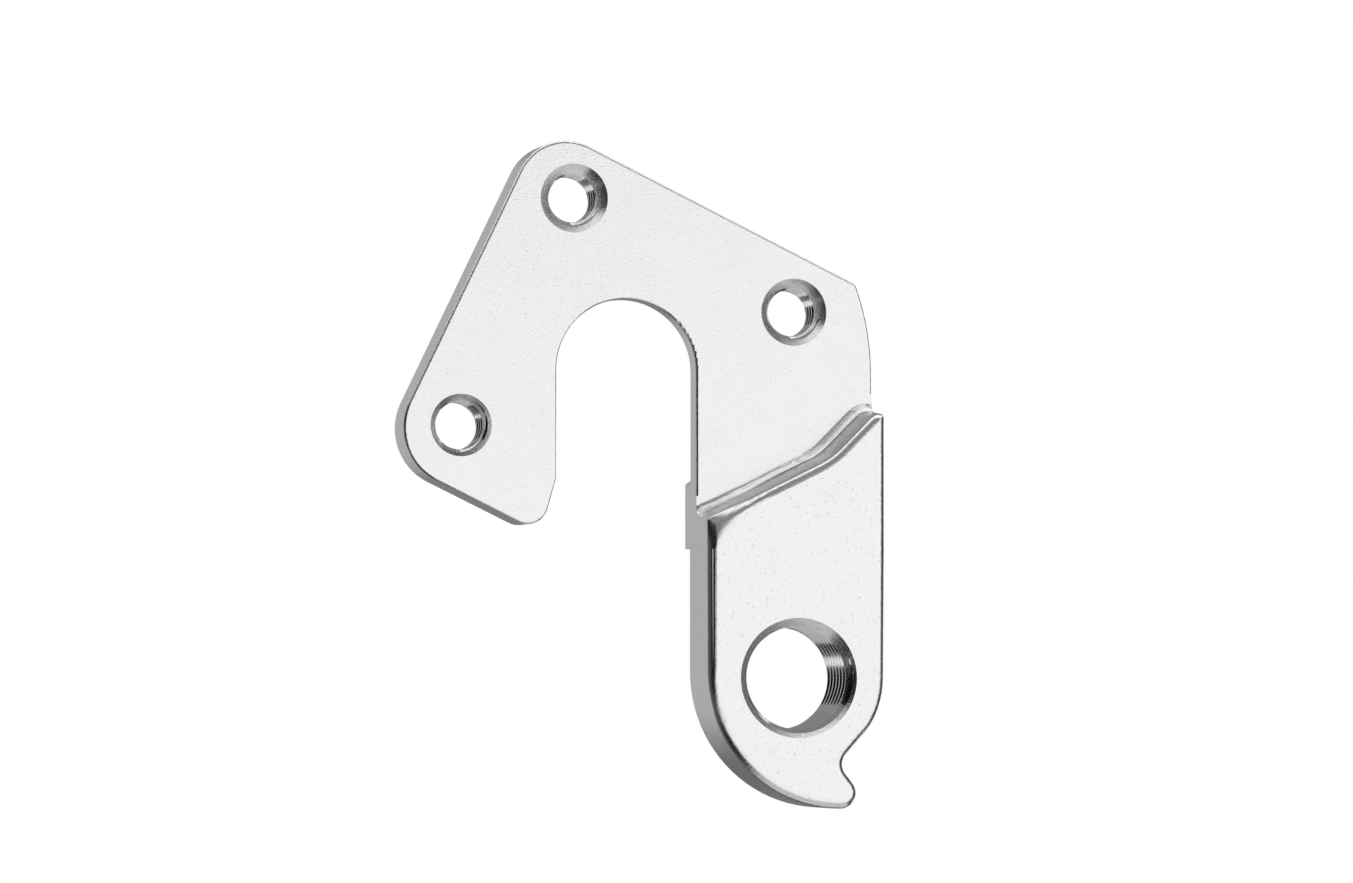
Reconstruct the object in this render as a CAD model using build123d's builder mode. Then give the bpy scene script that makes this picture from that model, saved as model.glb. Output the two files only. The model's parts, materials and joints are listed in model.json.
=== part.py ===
"""Rear derailleur hanger of aluminium, one cast and machined piece.

A flat plate with an open axle slot is screwed to the frame by three M5 screws, and a
thicker arm hangs from it and carries the derailleur in an M10 x 1 thread.

Frame: origin on the axis of the derailleur thread, in the plane of the plate's inboard
face, which lies against the bicycle's frame. +X points to the rear of the bicycle, +Y
outboard, +Z up. All sizes are millimetres.
"""

from build123d import *
import os
from math import atan2, cos, degrees, radians, sin, sqrt

# Plate: a square set on the axle's centre and turned, with its rear corner cut round
PLATE_THICKNESS = 4.2
PLATE_TILT = 25.8
PLATE_HALF_WIDTH = 16.35
TOP_CORNER_RADIUS = 4.7
FRONT_CORNER_RADIUS = 5.2
REAR_CORNER_RADIUS = 0.9
LEG_CORNER_RADIUS = 1.9
EDGE_ROUND = 0.25

# Axle slot, open at the bottom, with a round seat for the axle nut on the outboard face
AXLE_X = -14.5
AXLE_Z = 27.15
SLOT_WIDTH = 12.7
SLOT_FLARE_START = 9.55
SLOT_FLARE_ANGLE = 16.0
NUT_SEAT_DIAMETER = 23.6
NUT_SEAT_DEPTH = 2.1

# Arm that carries the derailleur
ARM_REAR_X = 8.0
ARM_RAISE = 4.6
ARM_BACK_STEP = 1.7
ARM_BACK_STEP_Z = 11.47
ARM_LOWER_RADIUS = 12.07
ARM_LOWER_TURN_Z = 0.55
ARM_EDGE_ROUND = 0.8

# Shoulder between the plate's inboard face and the raised arm
SHOULDER_START_Z = 14.46
SHOULDER_SLOPE = 26.0
SHOULDER_BEND_X = 2.9
SHOULDER_STEEP_SLOPE = 45.0
SHOULDER_CREST_X = 6.8
SHOULDER_BEND_RADIUS = 7.0
SHOULDER_CREST_RADIUS = 1.6
SHOULDER_DRAFT = 6.0
SHOULDER_FOOT_RADIUS = 0.8

# Stop for the derailleur's adjusting screw: an arc round the thread, a notch and a nose
STOP_ARC_RADIUS = 7.9
STOP_ARC_END_ANGLE = 34.04
NOTCH_RADIUS = 1.2
NOSE_ANGLE = 77.18
NOSE_LENGTH = 4.624
NOSE_FLANK_ANGLE = 52.3
NOSE_RADIUS = 1.4

# Derailleur thread, M10 x 1, left at its minor diameter
DERAILLEUR_THREAD_DIAMETER = 10.0
DERAILLEUR_THREAD_PITCH = 1.0
DERAILLEUR_COUNTERSINK_DIAMETER = 10.6
DERAILLEUR_COUNTERSINK_DEPTH = 0.85
DERAILLEUR_BACK_CHAMFER = 0.3

# Frame screw threads, M5 x 0.8, left at their minor diameter
SCREW_THREAD_DIAMETER = 5.0
SCREW_THREAD_PITCH = 0.8
SCREW_CIRCLE_RADIUS = 16.0
SCREW_CIRCLE_SHIFT = 0.25
TOP_SCREW_ANGLE = 108.3
REAR_SCREW_ANGLE = 19.7
FRONT_SCREW_ANGLE = 198.1
TOP_COUNTERSINK_DIAMETER = 6.1
REAR_COUNTERSINK_DIAMETER = 6.0
FRONT_COUNTERSINK_DIAMETER = 5.5
SCREW_COUNTERSINK_DEPTH = 1.0
SCREW_BACK_CHAMFER = 0.4

# Values that follow from the sizes above
SLOT_RADIUS = SLOT_WIDTH / 2
SLOT_REAR_X = AXLE_X + SLOT_RADIUS
SLOT_FRONT_X = AXLE_X - SLOT_RADIUS
ARM_BACK_Y = PLATE_THICKNESS - ARM_BACK_STEP
ARM_THICKNESS = ARM_BACK_Y + ARM_RAISE
RIM_DEPTH = 2 * EDGE_ROUND
MARGIN = 5.0
OVERCUT = 1.0


def minor_diameter(major, pitch):
    """Bore that a basic ISO metric internal thread leaves."""
    return major - 1.0825 * pitch


def along(point, angle, distance):
    """Point at a distance from another, the angle measured from +X towards +Z."""
    return (point[0] + distance * cos(radians(angle)), point[1] + distance * sin(radians(angle)))


def crossing(point_a, angle_a, point_b, angle_b):
    """Where two lines cross, each given by a point and an angle."""
    ax, az = cos(radians(angle_a)), sin(radians(angle_a))
    bx, bz = cos(radians(angle_b)), sin(radians(angle_b))
    dx, dz = point_b[0] - point_a[0], point_b[1] - point_a[1]
    step = (dx * bz - dz * bx) / (ax * bz - az * bx)
    return (point_a[0] + step * ax, point_a[1] + step * az)


def line_meets_circle(point, angle, centre, radius):
    """Where a line that starts inside a circle leaves it."""
    ux, uz = cos(radians(angle)), sin(radians(angle))
    dx, dz = point[0] - centre[0], point[1] - centre[1]
    half = dx * ux + dz * uz
    step = -half + sqrt(half**2 - (dx**2 + dz**2 - radius**2))
    return (point[0] + step * ux, point[1] + step * uz)


def bearing(centre, point):
    """Angle of a point seen from a centre."""
    return degrees(atan2(point[1] - centre[1], point[0] - centre[0]))


def round_corner(sketch, place, radius):
    """Round the sketch corner that lies nearest to a place."""
    fillet(sketch.vertices().sort_by_distance(place)[0], radius)


def drill(diameter, sink_diameter, sink_depth):
    """Bore right through, with a countersink of a given depth at its start."""
    cone = 2 * degrees(atan2((sink_diameter - diameter) / 2, sink_depth))
    CounterSinkHole(diameter / 2, sink_diameter / 2, counter_sink_angle=cone)


# Corners of the plate, as they would be without their rounding
axle = (AXLE_X, AXLE_Z)
across_angle = -PLATE_TILT
up_angle = 90.0 - PLATE_TILT
top_middle = along(axle, up_angle, PLATE_HALF_WIDTH)
bottom_middle = along(axle, up_angle, -PLATE_HALF_WIDTH)
top_corner = along(top_middle, across_angle, -PLATE_HALF_WIDTH)
front_corner = along(bottom_middle, across_angle, -PLATE_HALF_WIDTH)
rear_arc_radius = ARM_REAR_X - AXLE_X
rear_corner = line_meets_circle(top_middle, across_angle, axle, rear_arc_radius)
rear_arc_middle = along(axle, bearing(axle, rear_corner) / 2, rear_arc_radius)
flare_start = (SLOT_FRONT_X, AXLE_Z - SLOT_FLARE_START)
leg_corner = crossing(bottom_middle, across_angle, flare_start, 270.0 - SLOT_FLARE_ANGLE)

# Corners of the shoulder line on the plate's inboard face
shoulder_start = (SLOT_REAR_X, SHOULDER_START_Z)
shoulder_bend = crossing(shoulder_start, SHOULDER_SLOPE, (SHOULDER_BEND_X, 0.0), 90.0)
shoulder_crest = crossing(shoulder_bend, SHOULDER_STEEP_SLOPE, (SHOULDER_CREST_X, 0.0), 90.0)
shoulder_front = along(shoulder_start, SHOULDER_SLOPE, -MARGIN)
shoulder_rear = (ARM_REAR_X + MARGIN, shoulder_crest[1])
cutter_top = AXLE_Z + PLATE_HALF_WIDTH

# Lower end of the arm
thread_axis = (0.0, 0.0)
lower_centre = (SLOT_REAR_X + ARM_LOWER_RADIUS, ARM_LOWER_TURN_Z)
stop_arc_start = along(thread_axis, 0.0, STOP_ARC_RADIUS)
stop_arc_middle = along(thread_axis, -STOP_ARC_END_ANGLE / 2, STOP_ARC_RADIUS)
stop_arc_end = along(thread_axis, -STOP_ARC_END_ANGLE, STOP_ARC_RADIUS)
lower_start = along(lower_centre, 180.0, ARM_LOWER_RADIUS)
lower_middle = along(lower_centre, (-NOSE_ANGLE - 180.0) / 2, ARM_LOWER_RADIUS)
nose = along(lower_centre, -NOSE_ANGLE, ARM_LOWER_RADIUS)
notch = along(nose, 180.0 - NOSE_FLANK_ANGLE, NOSE_LENGTH)

# Line just above the shoulder's foot, where the broken edge of the plate's rim ends
rim_line = [shoulder_front, shoulder_bend, shoulder_crest, shoulder_rear]
rim_line = [along(point, 90.0, 2 * SHOULDER_FOOT_RADIUS) for point in rim_line]
rim_end = rim_line + [(shoulder_rear[0], -AXLE_Z), (shoulder_front[0], -AXLE_Z)]

# Threads
screw_centre = (AXLE_X + SCREW_CIRCLE_SHIFT, AXLE_Z)
top_screw = along(screw_centre, TOP_SCREW_ANGLE, SCREW_CIRCLE_RADIUS)
rear_screw = along(screw_centre, REAR_SCREW_ANGLE, SCREW_CIRCLE_RADIUS)
front_screw = along(screw_centre, FRONT_SCREW_ANGLE, SCREW_CIRCLE_RADIUS)
frame_screws = (
    (top_screw, TOP_COUNTERSINK_DIAMETER),
    (rear_screw, REAR_COUNTERSINK_DIAMETER),
    (front_screw, FRONT_COUNTERSINK_DIAMETER),
)
screw_bore = minor_diameter(SCREW_THREAD_DIAMETER, SCREW_THREAD_PITCH)
screw_back_diameter = screw_bore + 2 * SCREW_BACK_CHAMFER
derailleur_bore = minor_diameter(DERAILLEUR_THREAD_DIAMETER, DERAILLEUR_THREAD_PITCH)
derailleur_back_diameter = derailleur_bore + 2 * DERAILLEUR_BACK_CHAMFER

# Planes that look inboard, and the two that look outboard for work on the back
plate_face = Plane.XZ
plate_back = Plane.XZ.offset(-PLATE_THICKNESS)
arm_face = Plane.XZ.offset(ARM_RAISE)
arm_back = Plane.XZ.offset(-ARM_BACK_Y)
from_plate_back = Plane(origin=(0, PLATE_THICKNESS, 0), x_dir=(-1, 0, 0), z_dir=(0, 1, 0))
from_arm_back = from_plate_back.offset(-ARM_BACK_STEP)

# Outline of the plate, down to the step on the back of the arm
with BuildSketch(plate_back) as plate_outline:
    with BuildLine():
        Line((SLOT_FRONT_X, AXLE_Z), flare_start)
        Line(flare_start, leg_corner)
        Line(leg_corner, front_corner)
        Line(front_corner, top_corner)
        Line(top_corner, rear_corner)
        ThreePointArc(rear_corner, rear_arc_middle, (ARM_REAR_X, AXLE_Z))
        Line((ARM_REAR_X, AXLE_Z), (ARM_REAR_X, ARM_BACK_STEP_Z))
        Line((ARM_REAR_X, ARM_BACK_STEP_Z), (SLOT_REAR_X, ARM_BACK_STEP_Z))
        Line((SLOT_REAR_X, ARM_BACK_STEP_Z), (SLOT_REAR_X, AXLE_Z))
        ThreePointArc((SLOT_REAR_X, AXLE_Z), (AXLE_X, AXLE_Z + SLOT_RADIUS), (SLOT_FRONT_X, AXLE_Z))
    make_face()
    round_corner(plate_outline, top_corner, TOP_CORNER_RADIUS)
    round_corner(plate_outline, front_corner, FRONT_CORNER_RADIUS)
    round_corner(plate_outline, rear_corner, REAR_CORNER_RADIUS)
    round_corner(plate_outline, leg_corner, LEG_CORNER_RADIUS)

# Outline of the arm, running up into the plate
with BuildSketch(arm_back) as arm_outline:
    with BuildLine():
        Line((SLOT_REAR_X, AXLE_Z), lower_start)
        ThreePointArc(lower_start, lower_middle, nose)
        Line(nose, notch)
        Line(notch, stop_arc_end)
        ThreePointArc(stop_arc_end, stop_arc_middle, stop_arc_start)
        Line(stop_arc_start, (ARM_REAR_X, ARM_BACK_STEP_Z))
        Line((ARM_REAR_X, ARM_BACK_STEP_Z), (ARM_REAR_X, AXLE_Z))
        Line((ARM_REAR_X, AXLE_Z), (SLOT_REAR_X, AXLE_Z))
    make_face()
    round_corner(arm_outline, nose, NOSE_RADIUS)
    round_corner(arm_outline, notch, NOTCH_RADIUS)

# What round edges take off the plate's rims, all round outboard, above the shoulder inboard
with BuildPart() as round_plate:
    extrude(plate_outline.sketch, amount=PLATE_THICKNESS)
    fillet(round_plate.faces().filter_by(Axis.Y).edges(), EDGE_ROUND)
with BuildPart() as plate_rim_cutter:
    with BuildSketch(plate_face):
        with Locations(axle):
            Rectangle(4 * PLATE_HALF_WIDTH, 4 * PLATE_HALF_WIDTH)
        with BuildLine():
            Polyline(*rim_end, close=True)
        make_face(mode=Mode.SUBTRACT)
    extrude(amount=-RIM_DEPTH)
    with BuildSketch(plate_back):
        with Locations(axle):
            Rectangle(4 * PLATE_HALF_WIDTH, 4 * PLATE_HALF_WIDTH)
    extrude(amount=RIM_DEPTH)
    add(round_plate.part, mode=Mode.SUBTRACT)

# What a round edge takes off the arm's back rim, below the step
with BuildPart() as round_arm:
    extrude(arm_outline.sketch, amount=ARM_THICKNESS)
    fillet(round_arm.faces().sort_by(Axis.Y)[-1].edges(), EDGE_ROUND)
with BuildPart() as arm_rim_cutter:
    with BuildSketch(arm_back):
        with Locations((0.0, ARM_BACK_STEP_Z)):
            Rectangle(4 * ARM_LOWER_RADIUS, 4 * ARM_LOWER_RADIUS, align=(Align.CENTER, Align.MAX))
    extrude(amount=RIM_DEPTH)
    add(round_arm.part, mode=Mode.SUBTRACT)

with BuildPart() as hanger:
    extrude(plate_outline.sketch, amount=PLATE_THICKNESS)
    extrude(arm_outline.sketch, amount=ARM_THICKNESS)

    # Shoulder: all above the line is cut down to the plate's face, with a little draft
    with BuildSketch(plate_face) as above_shoulder:
        with BuildLine():
            Polyline(
                shoulder_front,
                shoulder_bend,
                shoulder_crest,
                shoulder_rear,
                (shoulder_rear[0], cutter_top),
                (shoulder_front[0], cutter_top),
                close=True,
            )
        make_face()
        round_corner(above_shoulder, shoulder_bend, SHOULDER_BEND_RADIUS)
        round_corner(above_shoulder, shoulder_crest, SHOULDER_CREST_RADIUS)
    extrude(amount=ARM_RAISE + OVERCUT, taper=-SHOULDER_DRAFT, mode=Mode.SUBTRACT)

    # Soft edges of the casting: the foot of the shoulder and the rim of the raised face
    face_of_plate = hanger.faces().filter_by(Axis.Y)
    face_of_plate = face_of_plate.sort_by_distance((top_screw[0], 0, top_screw[1]))[0]
    foot = face_of_plate.edges().filter_by_position(Axis.Z, 0, AXLE_Z)
    foot = foot.filter_by_position(Axis.X, SLOT_REAR_X + EDGE_ROUND, ARM_REAR_X - EDGE_ROUND)
    fillet(foot, SHOULDER_FOOT_RADIUS)
    fillet(hanger.faces().sort_by(Axis.Y)[0].outer_wire().edges(), ARM_EDGE_ROUND)

    # Machined: the seat of the axle nut, and the broken edges of plate and arm
    with BuildSketch(plate_back):
        with Locations(axle):
            Circle(NUT_SEAT_DIAMETER / 2)
    extrude(amount=NUT_SEAT_DEPTH, mode=Mode.SUBTRACT)
    add(plate_rim_cutter.part, mode=Mode.SUBTRACT)
    add(arm_rim_cutter.part, mode=Mode.SUBTRACT)

    # Threads, each with its countersink on the inboard side and a light chamfer outboard
    for (screw_x, screw_z), sink_diameter in frame_screws:
        with Locations(plate_face):
            with Locations((screw_x, screw_z)):
                drill(screw_bore, sink_diameter, SCREW_COUNTERSINK_DEPTH)
        with Locations(from_plate_back):
            with Locations((-screw_x, screw_z)):
                drill(screw_bore, screw_back_diameter, SCREW_BACK_CHAMFER)
    with Locations(arm_face):
        drill(derailleur_bore, DERAILLEUR_COUNTERSINK_DIAMETER, DERAILLEUR_COUNTERSINK_DEPTH)
    with Locations(from_arm_back):
        drill(derailleur_bore, derailleur_back_diameter, DERAILLEUR_BACK_CHAMFER)

hanger.part.label = "derailleur_hanger"
os.makedirs("parts", exist_ok=True)
export_step(hanger.part, "parts/derailleur_hanger.step")
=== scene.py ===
"""Looks of a rear derailleur hanger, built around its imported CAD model.

The hanger is one piece of cast aluminium with machined bores. It is copied from the CAD
mesh, its arm's front corner is worn soft, the foot of its shoulder is flattened, and its
four bores get real helical threads, cut by taps that Geometry Nodes make. Everything is
in metres, in the part's own frame: origin on the axis of the derailleur thread in the
plane of the plate's inboard face, +X to the rear of the bicycle, +Y outboard, +Z up.
"""

import json
from math import ceil, cos, hypot, pi, radians, sin

import bmesh
import bpy
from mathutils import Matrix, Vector

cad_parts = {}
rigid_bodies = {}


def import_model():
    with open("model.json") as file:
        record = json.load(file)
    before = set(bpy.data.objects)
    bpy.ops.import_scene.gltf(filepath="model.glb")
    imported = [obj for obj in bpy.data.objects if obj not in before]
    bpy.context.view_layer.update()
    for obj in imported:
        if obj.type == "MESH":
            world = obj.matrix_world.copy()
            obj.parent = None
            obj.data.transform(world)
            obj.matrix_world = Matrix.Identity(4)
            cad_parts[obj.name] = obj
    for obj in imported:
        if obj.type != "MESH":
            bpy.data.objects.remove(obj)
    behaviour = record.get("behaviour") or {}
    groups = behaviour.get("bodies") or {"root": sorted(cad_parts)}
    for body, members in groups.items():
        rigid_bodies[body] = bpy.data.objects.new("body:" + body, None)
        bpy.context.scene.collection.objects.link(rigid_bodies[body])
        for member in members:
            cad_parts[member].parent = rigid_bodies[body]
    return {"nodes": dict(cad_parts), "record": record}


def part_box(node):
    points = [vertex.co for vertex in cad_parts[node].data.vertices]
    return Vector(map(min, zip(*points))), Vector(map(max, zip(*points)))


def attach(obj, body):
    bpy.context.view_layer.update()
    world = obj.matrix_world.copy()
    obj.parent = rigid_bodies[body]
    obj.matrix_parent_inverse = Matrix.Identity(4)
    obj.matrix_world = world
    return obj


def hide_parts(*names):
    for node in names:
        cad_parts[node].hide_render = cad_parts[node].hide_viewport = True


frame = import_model()

bl_info = {
    "name": "Derailleur Hanger",
    "version": (1, 0, 0),
    "blender": (4, 5, 0),
    "location": "View3D > Sidebar > Hanger",
    "description": "Builds the looks of a bicycle derailleur hanger on its CAD model",
    "category": "Object",
}

MM = 0.001
WELD = 0.0005 * MM
NODE = "derailleur_hanger"

# Where the arm's two side faces lie along X
ARM_FRONT = -8.15 * MM
ARM_REAR = 8.0 * MM

# The four bores: mount in the record, and which of the two threads it has
BORES = (
    ("derailleur_thread", "derailleur"),
    ("frame_screw_top", "screw"),
    ("frame_screw_rear", "screw"),
    ("frame_screw_front", "screw"),
)

# Corners of an ISO metric ridge: share of a pitch along the axis, and 1 at the major radius
RIDGE = ((0.0, 1.0), (1 / 8, 1.0), (7 / 16, 0.0), (11 / 16, 0.0))


def mount(name):
    """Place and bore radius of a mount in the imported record, in metres."""
    found = next(m for m in frame["record"]["mounts"] if m["name"] == name)
    return Vector(found["pos_m"]), found["dims"]["r_mm"] * MM


def srgb(code):
    """Turn an sRGB hex colour into linear red, green, blue and alpha."""
    channels = [int(code[i : i + 2], 16) / 255 for i in (1, 3, 5)]
    return [c / 12.92 if c <= 0.04045 else ((c + 0.055) / 1.055) ** 2.4 for c in channels] + [1.0]


def add_node(tree, kind, links=None, **settings):
    """Add a node, set its properties, and link or set its inputs by name or number."""
    node = tree.nodes.new(kind)
    for name, value in settings.items():
        setattr(node, name, value)
    for socket, source in (links or {}).items():
        if isinstance(source, bpy.types.NodeSocket):
            tree.links.new(source, node.inputs[socket])
        else:
            node.inputs[socket].default_value = source
    return node


# ---- Materials


def cast_aluminium(settings):
    """Cast aluminium, tumbled and finely blasted: pale, with a soft sheen and a fine sparkle."""
    material = bpy.data.materials.new("blasted_cast_aluminium")
    material.use_nodes = True
    tree = material.node_tree
    shader = tree.nodes["Principled BSDF"]
    place = add_node(tree, "ShaderNodeTexCoord").outputs["Object"]

    # Blasting grit of 0.1 mm leaves dents of that size, drawn coarser so that they show
    dents = add_node(
        tree,
        "ShaderNodeTexNoise",
        {"Vector": place, "Scale": 1 / settings.grain, "Detail": 2.0, "Roughness": 0.6},
    ).outputs["Fac"]
    # Painted shade: where the dent noise is highest the colour turns darker in fine dots, as shade
    # painted into the dents
    painted_dent_shade = add_node(
        tree,
        "ShaderNodeMapRange",
        {"Value": dents, "From Min": 0.66, "From Max": 0.74, "To Min": 0.0, "To Max": 1.0},
    ).outputs["Result"]
    # Tumbling leaves the sheen uneven over a few millimetres
    cloud = add_node(
        tree, "ShaderNodeTexNoise", {"Vector": place, "Scale": 1 / (5 * MM), "Detail": 3.0}
    ).outputs["Fac"]
    roughness = add_node(
        tree,
        "ShaderNodeMapRange",
        {"Value": cloud, "From Min": 0.3, "From Max": 0.7, "To Min": 0.22, "To Max": 0.25},
    ).outputs["Result"]
    colour = add_node(
        tree,
        "ShaderNodeMix",
        {0: painted_dent_shade, 6: srgb(settings.metal_colour), 7: srgb(settings.dent_shade_colour)},
        data_type="RGBA",
    ).outputs[2]
    bump = add_node(
        tree, "ShaderNodeBump", {"Height": dents, "Strength": 1.0, "Distance": 0.018 * MM}
    ).outputs["Normal"]
    shader.inputs["Metallic"].default_value = 1.0
    tree.links.new(colour, shader.inputs["Base Color"])
    tree.links.new(roughness, shader.inputs["Roughness"])
    tree.links.new(bump, shader.inputs["Normal"])
    return material


def tapped_aluminium(settings):
    """Aluminium freshly cut by a tap: smoother than the cast skin, with turning marks."""
    material = bpy.data.materials.new("tapped_aluminium")
    material.use_nodes = True
    tree = material.node_tree
    shader = tree.nodes["Principled BSDF"]
    place = add_node(tree, "ShaderNodeTexCoord").outputs["Object"]

    # The cutter's marks run round the bore, so they are spaced along its axis only
    marks = add_node(tree, "ShaderNodeMapping", {"Vector": place, "Scale": (0.1, 1.0, 0.1)})
    marks = add_node(
        tree, "ShaderNodeTexNoise", {"Vector": marks.outputs[0], "Scale": 1 / (0.15 * MM)}
    ).outputs["Fac"]
    roughness = add_node(
        tree,
        "ShaderNodeMapRange",
        {"Value": marks, "From Min": 0.3, "From Max": 0.7, "To Min": 0.10, "To Max": 0.18},
    ).outputs["Result"]
    shader.inputs["Base Color"].default_value = srgb(settings.cut_colour)
    shader.inputs["Metallic"].default_value = 1.0
    tree.links.new(roughness, shader.inputs["Roughness"])
    return material


def studio_surface(name, colour, shines):
    """Painted card or paper of the stage; a card that shines shows its colour by itself."""
    material = bpy.data.materials.new(name)
    material.use_nodes = True
    shader = material.node_tree.nodes["Principled BSDF"]
    shader.inputs["Roughness"].default_value = 0.9
    if shines:
        shader.inputs["Base Color"].default_value = srgb("#000000")
        shader.inputs["Specular IOR Level"].default_value = 0.0
        shader.inputs["Emission Color"].default_value = srgb(colour)
        shader.inputs["Emission Strength"].default_value = 1.0
    else:
        shader.inputs["Base Color"].default_value = srgb(colour)
    return material


# ---- Taps for the threads


def tap_tree():
    """Geometry Nodes tree for a tap: a rod with one helical ridge, closed at both ends."""
    tree = bpy.data.node_groups.new("thread_tap", "GeometryNodeTree")
    sockets = tree.interface
    for name, kind in (
        ("Centre", "NodeSocketVector"),
        ("Major Radius", "NodeSocketFloat"),
        ("Minor Radius", "NodeSocketFloat"),
        ("Pitch", "NodeSocketFloat"),
        ("Length", "NodeSocketFloat"),
        ("Turns", "NodeSocketInt"),
        ("Segments", "NodeSocketInt"),
        ("Metal", "NodeSocketMaterial"),
    ):
        sockets.new_socket(name, in_out="INPUT", socket_type=kind)
    sockets.new_socket("Tap", in_out="OUTPUT", socket_type="NodeSocketGeometry")
    size = add_node(tree, "NodeGroupInput").outputs

    def maths(operation, a, b=0.0, c=0.0):
        return add_node(tree, "ShaderNodeMath", {0: a, 1: b, 2: c}, operation=operation).outputs[0]

    # A flat grid with four rows to each turn, which is then wound up into the ridge
    rows = maths("MULTIPLY", size["Turns"], 4.0)
    grid = add_node(
        tree,
        "GeometryNodeMeshGrid",
        {
            "Size X": rows,
            "Size Y": size["Segments"],
            "Vertices X": maths("ADD", rows, 1.0),
            "Vertices Y": maths("ADD", size["Segments"], 1.0),
        },
    ).outputs["Mesh"]
    spot = add_node(tree, "GeometryNodeInputPosition").outputs[0]
    spot = add_node(tree, "ShaderNodeSeparateXYZ", {0: spot}).outputs
    row = maths("ROUND", maths("MULTIPLY_ADD", rows, 0.5, spot["X"]))
    column = maths("MULTIPLY_ADD", size["Segments"], 0.5, spot["Y"])
    corner = maths("MODULO", row, 4.0)
    turn = maths("FLOOR", maths("DIVIDE", row, 4.0))
    along, outward = (
        add_node(tree, "GeometryNodeIndexSwitch", data_type="FLOAT") for _ in range(2)
    )
    for switch in (along, outward):
        while len(switch.index_switch_items) < len(RIDGE):
            switch.index_switch_items.new()
        tree.links.new(corner, switch.inputs["Index"])
    for number, (share, reach) in enumerate(RIDGE):
        along.inputs[number + 1].default_value = share
        outward.inputs[number + 1].default_value = reach
    round_share = maths("DIVIDE", column, size["Segments"])
    turns_done = maths("ADD", turn, along.outputs[0])
    advance = maths("ADD", turns_done, maths("SUBTRACT", round_share, 1.0))
    height = maths("MULTIPLY", advance, size["Pitch"])
    depth = maths("SUBTRACT", size["Major Radius"], size["Minor Radius"])
    radius = maths("MULTIPLY_ADD", outward.outputs[0], depth, size["Minor Radius"])

    # Rows past either end close on the axis
    inside = maths(
        "MULTIPLY",
        maths("GREATER_THAN", height, 0.0),
        maths("LESS_THAN", height, size["Length"]),
    )
    radius = maths("MULTIPLY", radius, inside)
    height = maths("MINIMUM", maths("MAXIMUM", height, 0.0), size["Length"])
    angle = maths("MULTIPLY", round_share, 2 * pi)
    wound = add_node(
        tree,
        "ShaderNodeCombineXYZ",
        {
            "X": maths("MULTIPLY", radius, maths("SINE", angle)),
            "Y": height,
            "Z": maths("MULTIPLY", radius, maths("COSINE", angle)),
        },
    ).outputs[0]
    wound = add_node(
        tree, "ShaderNodeVectorMath", {0: wound, 1: size["Centre"]}, operation="ADD"
    ).outputs[0]
    rod = add_node(
        tree, "GeometryNodeSetPosition", {"Geometry": grid, "Position": wound}
    ).outputs[0]
    rod = add_node(
        tree, "GeometryNodeMergeByDistance", {"Geometry": rod, "Distance": 2 * WELD}
    ).outputs[0]
    rod = add_node(tree, "GeometryNodeRealizeInstances", {"Geometry": rod}).outputs[0]
    rod = add_node(
        tree, "GeometryNodeSetMaterial", {"Geometry": rod, "Material": size["Metal"]}
    ).outputs[0]
    add_node(tree, "NodeGroupOutput", {"Tap": rod})
    return tree


def bake(thing):
    """Replace an object's mesh by its evaluated one and drop its modifiers."""
    bpy.context.view_layer.update()
    graph = bpy.context.evaluated_depsgraph_get()
    baked = bpy.data.meshes.new_from_object(thing.evaluated_get(graph))
    thing.modifiers.clear()
    thing.data = baked


def make_tap(tree, name, major, pitch, metal):
    """Tap that cuts the thread of one mount right through the part, as a plain mesh."""
    centre, minor = mount(name)
    low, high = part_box(NODE)
    past = 2 * pitch
    length = high.y - low.y + 2 * past
    sizes = {
        "Centre": (centre.x, low.y - past, centre.z),
        "Major Radius": major / 2,
        "Minor Radius": minor + 0.03 * MM,  # so that the whole bore wall is cut afresh
        "Pitch": pitch,
        "Length": length,
        "Turns": ceil(length / pitch) + 2,
        "Segments": max(48, round(10 * major / MM)),
        "Metal": metal,
    }
    tap = bpy.data.objects.new("tap_" + name, bpy.data.meshes.new("tap_" + name))
    bpy.context.scene.collection.objects.link(tap)
    winding = tap.modifiers.new("Winding", "NODES")
    winding.node_group = tree
    for item in tree.interface.items_tree:
        if item.in_out == "INPUT":
            winding[item.identifier] = sizes[item.name]
    bake(tap)
    shape = bmesh.new()
    shape.from_mesh(tap.data)
    bmesh.ops.dissolve_degenerate(shape, dist=2 * WELD, edges=shape.edges)
    bmesh.ops.recalc_face_normals(shape, faces=shape.faces)
    shape.to_mesh(tap.data)
    shape.free()
    return tap


# ---- The hanger's body


def slice_faces(shape, faces, place, across):
    """Cut some faces along a plane, which adds points to move and leaves the form alone."""
    edges = list(dict.fromkeys(e for f in faces for e in f.edges))
    verts = list(dict.fromkeys(v for f in faces for v in f.verts))
    bmesh.ops.bisect_plane(
        shape, geom=faces + edges + verts, plane_co=place, plane_no=across, dist=WELD
    )


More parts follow.
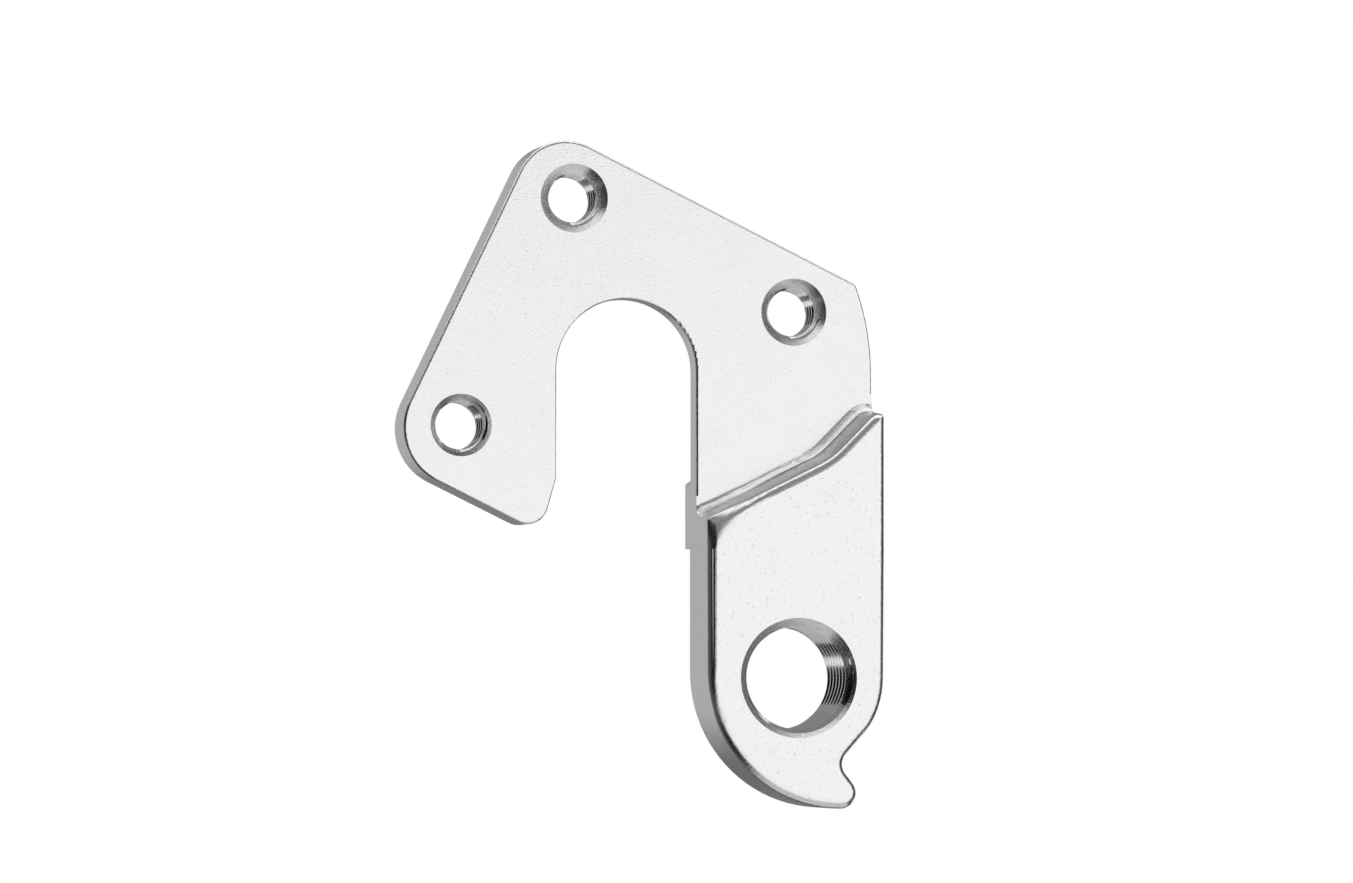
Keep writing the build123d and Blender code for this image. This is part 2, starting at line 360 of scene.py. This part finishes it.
def soften_corner(shape, settings):
    """Wear down the arm face's front upper corner, where casting left its edges soft.

    The face dips most in the corner itself, and the dip runs out along both edges: it ends
    where the distances from the two edges, multiplied, reach the reach squared.
    """
    low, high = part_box(NODE)
    face = low.y
    crest, slope = 13.9 * MM, 0.488  # the face's upper edge: its height in front, its rise
    deep, along, away = 0.8 * MM, 5 * MM, 6 * MM  # how far the wear reaches each way

    def edge_distances(point):
        behind = point.x - ARM_FRONT
        return behind, crest + slope * behind - point.z

    start, step, cuts = Vector((ARM_FRONT, 0, 11 * MM)), 0.35 * MM, 14
    for across in (Vector((1, 0, 0)), Vector((0, 0, 1))):
        for number in range(1, cuts + 1):
            near = [
                f
                for f in shape.faces
                if f.calc_center_median().y < face + 1.2 * MM
                and min(edge_distances(v.co)[0] for v in f.verts) < along
                and max(v.co.z for v in f.verts) > 9 * MM
            ]
            slice_faces(shape, near, start + number * step * across, across)
    for vert in shape.verts:
        behind, below = edge_distances(vert.co)
        depth = vert.co.y - face
        if depth > deep or behind > along or below > away:
            continue
        share = 1 - max(behind, 0) * max(below, 0) / settings.corner_reach**2
        fade = max(0, 1 - hypot(behind, below) / away) * (1 - depth / deep)
        if share > 0:
            vert.co.y += settings.corner_dip * share**2 * fade


def flatten_foot(shape, settings):
    """Flatten the round foot of the shoulder towards a chamfer, as the cutter left it.

    A point of the foot moves along its own normal, which leads to the round's axis. Both
    ends of the foot stay round, and the flattening sets in over the first half millimetre.
    """
    radius, half = 0.8 * MM, radians(42)  # of the round, which turns by twice this angle
    blend = 0.5 * MM
    for cut in (ARM_FRONT + blend, ARM_REAR - blend):
        foot = [f for f in shape.faces if all(-radius - WELD < v.co.y < WELD for v in f.verts)]
        slice_faces(shape, foot, (cut, 0, 0), (1, 0, 0))
    for vert in shape.verts:
        fade = min(1.0, (vert.co.x - ARM_FRONT) / blend, (ARM_REAR - vert.co.x) / blend)
        if fade < 0.01 or not -0.95 * radius < vert.co.y < -WELD:
            continue
        normal = sum((f.normal for f in vert.link_faces), Vector()).normalized()
        tilt = normal.angle(Vector((0, -1, 0)))
        if normal.z > 0 and tilt < 2 * half:
            share = fade * settings.foot_flatness
            vert.co += share * radius * (1 - cos(half) / cos(tilt - half)) * normal


def mark_edges(shape):
    """Shade the shape smooth, but for its corners and the borders of its level faces.

    A thin triangle of a level face would otherwise take its shade from the round beside it.
    """
    level = set()
    for face in shape.faces:
        face.smooth = True
        heights = [v.co.y for v in face.verts]
        if max(heights) - min(heights) < WELD:
            level.add(face)
    for edge in shape.edges:
        border = len({f in level for f in edge.link_faces}) == 2
        edge.smooth = edge.calc_face_angle(0.0) < radians(2 if border else 30)


# ---- Settings


class HangerSettings(bpy.types.PropertyGroup):
    """Sizes and colours of the hanger."""

    derailleur_major: bpy.props.FloatProperty(
        name="Derailleur Thread Diameter",
        description="Outer diameter of the derailleur's thread",
        default=10 * MM, min=9.2 * MM, max=10.5 * MM, unit="LENGTH", precision=5,
    )
    derailleur_pitch: bpy.props.FloatProperty(
        name="Derailleur Thread Pitch",
        description="Rise of one turn of the derailleur's thread",
        default=1.0 * MM, min=0.2 * MM, unit="LENGTH", precision=5,
    )
    screw_major: bpy.props.FloatProperty(
        name="Frame Screw Diameter",
        description="Outer diameter of the frame screws' threads",
        default=5 * MM, min=4.3 * MM, max=5.4 * MM, unit="LENGTH", precision=5,
    )
    screw_pitch: bpy.props.FloatProperty(
        name="Frame Screw Pitch",
        description="Rise of one turn of the frame screws' threads",
        default=0.8 * MM, min=0.2 * MM, unit="LENGTH", precision=5,
    )
    corner_dip: bpy.props.FloatProperty(
        name="Corner Dip",
        description="How deep the arm face's front corner is worn",
        default=0.6 * MM, min=0.0, max=1.0 * MM, unit="LENGTH", precision=5,
    )
    corner_reach: bpy.props.FloatProperty(
        name="Corner Reach",
        description="How far from the corner the wear shows, along its diagonal",
        default=1.6 * MM, min=0.2 * MM, unit="LENGTH", precision=5,
    )
    foot_flatness: bpy.props.FloatProperty(
        name="Foot Flatness",
        description="How far the shoulder's round foot is flattened, 1 is a plain chamfer",
        default=0.9, min=0.0, max=1.0, subtype="FACTOR",
    )
    grain: bpy.props.FloatProperty(
        name="Grain",
        description="Size of the dents that blasting leaves",
        default=0.18 * MM, min=0.01 * MM, unit="LENGTH", precision=5,
    )
    metal_colour: bpy.props.StringProperty(
        name="Metal Colour",
        description="sRGB hex colour of the cast aluminium",
        default="#F7F7F7",
    )
    # Painted shade: the darker colour that the cast aluminium paints into its dents
    dent_shade_colour: bpy.props.StringProperty(
        name="Dent Shade Colour",
        description="sRGB hex colour of the deepest dents",
        default="#B4B4B4",
    )
    cut_colour: bpy.props.StringProperty(
        name="Cut Metal Colour",
        description="sRGB hex colour of the threads and countersinks",
        default="#F0F0F0",
    )


class StageSettings(bpy.types.PropertyGroup):
    """Camera, floor and light."""

    azimuth: bpy.props.FloatProperty(
        name="Azimuth",
        description="Direction of the camera round the part, 0 looks along +Y",
        default=radians(-14.3), subtype="ANGLE",
    )
    elevation: bpy.props.FloatProperty(
        name="Elevation",
        description="Height of the camera above the horizon",
        default=radians(-2.3), subtype="ANGLE",
    )
    distance: bpy.props.FloatProperty(
        name="Distance",
        description="From the camera to the point it looks at",
        default=0.56, min=0.05, unit="LENGTH",
    )
    target: bpy.props.FloatVectorProperty(
        name="Target",
        description="Point that the camera looks at",
        default=(-9.967 * MM, 0.0, 20.92 * MM), unit="LENGTH", precision=5,
    )
    lens: bpy.props.FloatProperty(
        name="Lens",
        description="Focal length on a sensor 36 mm wide, in millimetres",
        default=168.37, min=1.0,
    )
    floor_drop: bpy.props.FloatProperty(
        name="Floor Drop",
        description="How far the floor lies below the part, which its mount holds",
        default=0.12, min=0.0, unit="LENGTH",
    )
    floor_colour: bpy.props.StringProperty(
        name="Floor Colour",
        description="sRGB hex colour of the floor",
        default="#F7F7F7",
    )


# ---- Operators


class HANGER_OT_body(bpy.types.Operator):
    """Build the hanger from its CAD model, finish its cast edges and cut its threads"""

    bl_idname = "hanger.body"
    bl_label = "Hanger"

    def execute(self, context):
        settings = context.scene.hanger_settings
        cast, cut = cast_aluminium(settings), tapped_aluminium(settings)
        hanger = bpy.data.objects.new("hanger", frame["nodes"][NODE].data.copy())
        context.scene.collection.objects.link(hanger)
        # The CAD mesh's own normals no longer fit once its points move
        hanger.data.attributes.remove(hanger.data.attributes["custom_normal"])
        hanger.data.materials.clear()
        for metal in (cast, cut):
            hanger.data.materials.append(metal)
        shape = bmesh.new()
        shape.from_mesh(hanger.data)
        bmesh.ops.remove_doubles(shape, verts=shape.verts, dist=WELD)
        soften_corner(shape, settings)
        flatten_foot(shape, settings)
        shape.to_mesh(hanger.data)
        shape.free()

        tree = tap_tree()
        taps = bpy.data.collections.new("taps")
        for name, size in BORES:
            major = getattr(settings, size + "_major")
            pitch = getattr(settings, size + "_pitch")
            taps.objects.link(make_tap(tree, name, major, pitch, cut))
        cutting = hanger.modifiers.new("Threads", "BOOLEAN")
        cutting.operation = "DIFFERENCE"
        cutting.solver = "EXACT"
        cutting.operand_type = "COLLECTION"
        cutting.collection = taps
        bake(hanger)
        for tap in list(taps.objects):
            bpy.data.objects.remove(tap)
        bpy.data.collections.remove(taps)

        shape = bmesh.new()
        shape.from_mesh(hanger.data)
        bmesh.ops.remove_doubles(shape, verts=shape.verts, dist=WELD)
        bmesh.ops.dissolve_degenerate(shape, dist=WELD, edges=shape.edges)
        mark_edges(shape)
        shape.to_mesh(hanger.data)
        shape.free()
        flats = hanger.modifiers.new("Flat Faces", "WEIGHTED_NORMAL")
        flats.keep_sharp = True
        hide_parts(NODE)
        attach(hanger, "root")
        return {"FINISHED"}


class HANGER_OT_stage(bpy.types.Operator):
    """Set up the camera, the pale floor and the soft studio light"""

    bl_idname = "hanger.stage"
    bl_label = "Stage"

    def execute(self, context):
        settings = context.scene.stage_settings
        make_camera(context.scene, settings)
        make_floor(context.scene, settings)
        make_world(context.scene)
        make_cards(context.scene)
        make_lamps(context.scene, Vector(settings.target))
        context.scene.view_settings.view_transform = "Standard"
        return {"FINISHED"}


def make_camera(scene, settings):
    """Camera at the photograph's viewing angle."""
    data = bpy.data.cameras.new("camera")
    data.sensor_width = 36.0
    data.lens = settings.lens
    data.clip_start = 0.01
    data.clip_end = 50.0
    camera = bpy.data.objects.new("camera", data)
    scene.collection.objects.link(camera)
    back = Vector((
        sin(settings.azimuth) * cos(settings.elevation),
        -cos(settings.azimuth) * cos(settings.elevation),
        sin(settings.elevation),
    ))
    camera.location = Vector(settings.target) + back * settings.distance
    camera.rotation_mode = "QUATERNION"
    camera.rotation_quaternion = (-back).to_track_quat("-Z", "Y")
    scene.camera = camera


def make_sheet(scene, name, corners, material):
    """A flat sheet of the stage."""
    mesh = bpy.data.meshes.new(name)
    mesh.from_pydata(corners, [], [(0, 1, 2, 3)])
    mesh.materials.append(material)
    sheet = bpy.data.objects.new(name, mesh)
    scene.collection.objects.link(sheet)
    return sheet


def make_floor(scene, settings):
    """A wide sheet of pale paper, below the photograph's view."""
    low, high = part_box(NODE)
    level = low.z - settings.floor_drop
    corners = [(-3, -3, level), (3, -3, level), (3, 3, level), (-3, 3, level)]
    paper = studio_surface("pale_paper", settings.floor_colour, shines=False)
    make_sheet(scene, "floor", corners, paper)


def make_cards(scene):
    """Grey and black cards round the part, which only its reflections show.

    They stand as a photographer sets them to give bright metal its dark edges. Each has
    its colour, the axis it lies across, and two opposite corners in metres.
    """
    for name, colour, across, near, far in (
        ("card_left_front", "#0C0C0C", 0, (-0.27, -0.7, -0.11), (-0.27, -0.03, 0.20)),
        ("card_left_back", "#505050", 0, (-0.27, -0.03, -0.12), (-0.27, 0.26, 0.20)),
        ("card_right", "#444444", 0, (0.26, -0.10, -0.12), (0.26, 0.21, 0.28)),
        ("card_back_left", "#B0B0B0", 1, (-0.8, 0.45, -0.12), (-0.02, 0.45, 0.28)),
        ("card_back_right", "#8E8E8E", 1, (-0.02, 0.45, -0.12), (0.2, 0.45, 0.28)),
        ("card_top_front", "#828282", 2, (-0.5, -1.1, 0.28), (0.27, -0.07, 0.28)),
        ("card_top_back", "#505050", 2, (-0.27, 0.21, 0.28), (0.27, 0.45, 0.28)),
        ("card_low_left", "#181818", 2, (-0.27, -0.18, -0.12), (-0.07, 0.06, -0.12)),
        ("card_low_middle", "#C0C0C0", 2, (-0.07, -0.12, -0.12), (0.1, 0.06, -0.12)),
        ("card_low_right", "#303030", 2, (0.1, -0.12, -0.12), (0.26, 0.06, -0.12)),
        ("card_low_back", "#5A5A5A", 2, (-0.27, 0.06, -0.12), (0.2, 0.45, -0.12)),
    ):
        u, v = (axis for axis in range(3) if axis != across)
        corners = []
        for first, second in ((near, near), (far, near), (far, far), (near, far)):
            corner = list(near)
            corner[u], corner[v] = first[u], second[v]
            corners.append(tuple(corner))
        card = make_sheet(scene, name, corners, studio_surface(name, colour, shines=True))
        card.visible_camera = False
        card.visible_diffuse = False
        card.visible_shadow = False


def make_world(scene):
    """White surroundings, for the camera and as even light from all sides."""
    world = bpy.data.worlds.new("studio")
    scene.world = world
    world.use_nodes = True
    tree = world.node_tree
    tree.nodes.clear()
    light = add_node(tree, "ShaderNodeBackground", {"Color": srgb("#FFFFFF"), "Strength": 1.0})
    add_node(tree, "ShaderNodeOutputWorld", {"Surface": light.outputs[0]})


def make_lamps(scene, target):
    """One large softbox above and a little behind, which gives the floor its soft shadow."""
    data = bpy.data.lights.new("top_softbox", "AREA")
    data.shape = "RECTANGLE"
    data.size = 0.6
    data.size_y = 0.3
    data.energy = 0.15
    lamp = bpy.data.objects.new("top_softbox", data)
    scene.collection.objects.link(lamp)
    lamp.location = target + Vector((0.0, 0.16, 0.4))


class HANGER_PT_panel(bpy.types.Panel):
    """Lists the steps that build the hanger and its stage"""

    bl_idname = "HANGER_PT_panel"
    bl_label = "Derailleur Hanger"
    bl_space_type = "VIEW_3D"
    bl_region_type = "UI"
    bl_category = "Hanger"

    def draw(self, context):
        layout = self.layout
        for settings in (context.scene.hanger_settings, context.scene.stage_settings):
            column = layout.column()
            for name in settings.__annotations__:
                column.prop(settings, name)
        for operator in (HANGER_OT_body, HANGER_OT_stage):
            layout.operator(operator.bl_idname)


classes = (HangerSettings, StageSettings, HANGER_OT_body, HANGER_OT_stage, HANGER_PT_panel)


def register():
    for cls in classes:
        bpy.utils.register_class(cls)
    bpy.types.Scene.hanger_settings = bpy.props.PointerProperty(type=HangerSettings)
    bpy.types.Scene.stage_settings = bpy.props.PointerProperty(type=StageSettings)


def unregister():
    del bpy.types.Scene.stage_settings
    del bpy.types.Scene.hanger_settings
    for cls in reversed(classes):
        bpy.utils.unregister_class(cls)


def main():
    """Register the add-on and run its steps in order."""
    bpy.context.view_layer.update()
    register()
    bpy.ops.hanger.body()
    bpy.ops.hanger.stage()


if __name__ == "__main__":
    main()
